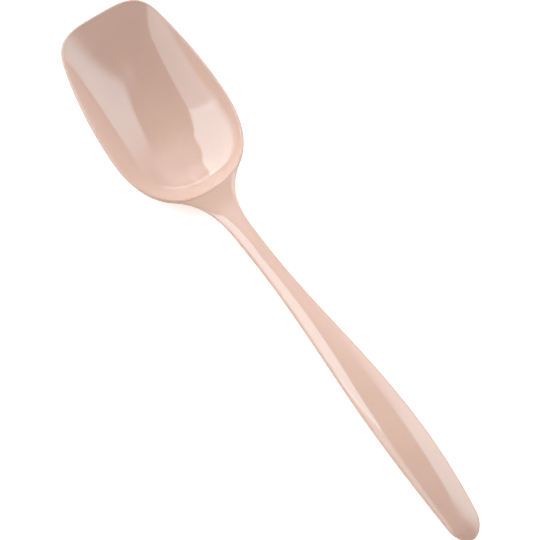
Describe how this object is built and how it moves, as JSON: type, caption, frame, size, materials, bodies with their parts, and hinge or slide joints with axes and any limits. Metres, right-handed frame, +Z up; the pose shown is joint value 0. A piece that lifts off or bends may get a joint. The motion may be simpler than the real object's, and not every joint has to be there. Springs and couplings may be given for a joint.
{
  "type": "cooking spoon",
  "caption": "Long one-piece cooking spoon in glossy dusty-pink plastic: deep bowl with a square front edge, slim flared neck and an arched handle that widens to a rounded grip.",
  "frame": {"origin": "on the table plane, below the middle of the spoon's length and width", "axes": "+X along the spoon from the bowl's front edge towards the handle's end, +Y across the bowl, +Z up out of the hollow"},
  "size_m": [0.3, 0.0648, 0.0358],
  "materials": {
    "spoon": "glossy"
  },
  "bodies": {
    "root": {"bowl": "spoon", "handle": "spoon"}
  },
  "joints": []
}
